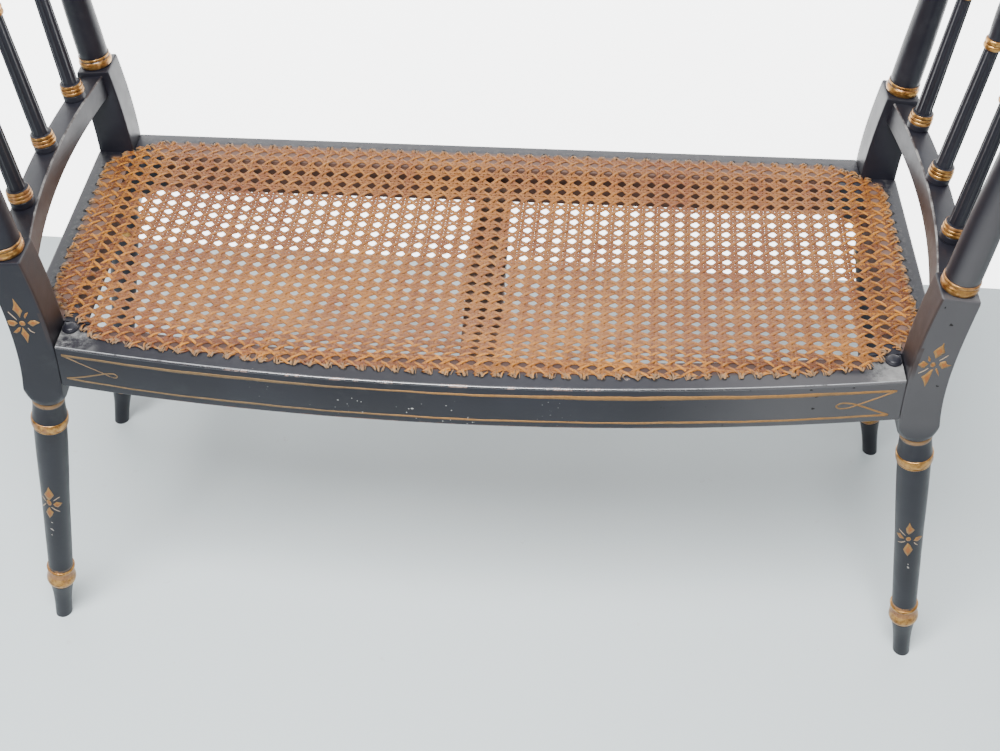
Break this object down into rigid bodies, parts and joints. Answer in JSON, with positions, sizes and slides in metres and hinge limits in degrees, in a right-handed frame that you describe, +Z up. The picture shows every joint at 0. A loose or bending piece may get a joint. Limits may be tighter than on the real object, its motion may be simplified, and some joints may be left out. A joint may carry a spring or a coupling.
{
  "type": "window seat",
  "caption": "Bow-fronted window seat with a woven cane seat, leaning turned legs and open spindled ends, ebonised wood with gilt rings, lines and flower sprigs.",
  "frame": {"origin": "on the floor below the middle of the seat, at the centre of the object's bounding box", "axes": "+X along the seat to the sitter's left-hand end as seen from the front (the viewer's right), -Y out of the bowed front, +Z up"},
  "size_m": [1.021, 0.381, 0.8381],
  "materials": {
    "ebonised_wood": "black painted wood, satin, worn grey and brown at edges",
    "bare_wood": "dark red-brown stained wood, matt",
    "woven_cane": "aged six-way woven cane, honey and red-brown",
    "gilt": "rubbed gilding over a red ground"
  },
  "bodies": {
    "root": {"leg_front_left": "ebonised_wood", "leg_front_right": "ebonised_wood", "leg_rear_left": "ebonised_wood", "leg_rear_right": "ebonised_wood", "seat_rail_front": "ebonised_wood", "seat_rail_rear": "ebonised_wood", "seat_rail_left": "ebonised_wood", "seat_rail_right": "ebonised_wood", "centre_rail": "bare_wood", "corner_block_front_left": "ebonised_wood", "corner_block_front_right": "ebonised_wood", "corner_block_rear_left": "ebonised_wood", "corner_block_rear_right": "ebonised_wood", "corner_pegs": "ebonised_wood", "cane_panel": "woven_cane", "arm_rail_left": "ebonised_wood", "arm_rail_right": "ebonised_wood", "arm_post_front_left": "ebonised_wood", "arm_post_front_right": "ebonised_wood", "arm_post_rear_left": "ebonised_wood", "arm_post_rear_right": "ebonised_wood", "spindle_left_front": "ebonised_wood", "spindle_left_middle": "ebonised_wood", "spindle_left_rear": "ebonised_wood", "spindle_right_front": "ebonised_wood", "spindle_right_middle": "ebonised_wood", "spindle_right_rear": "ebonised_wood", "top_rail_left": "ebonised_wood", "top_rail_right": "ebonised_wood"}
  },
  "joints": []
}
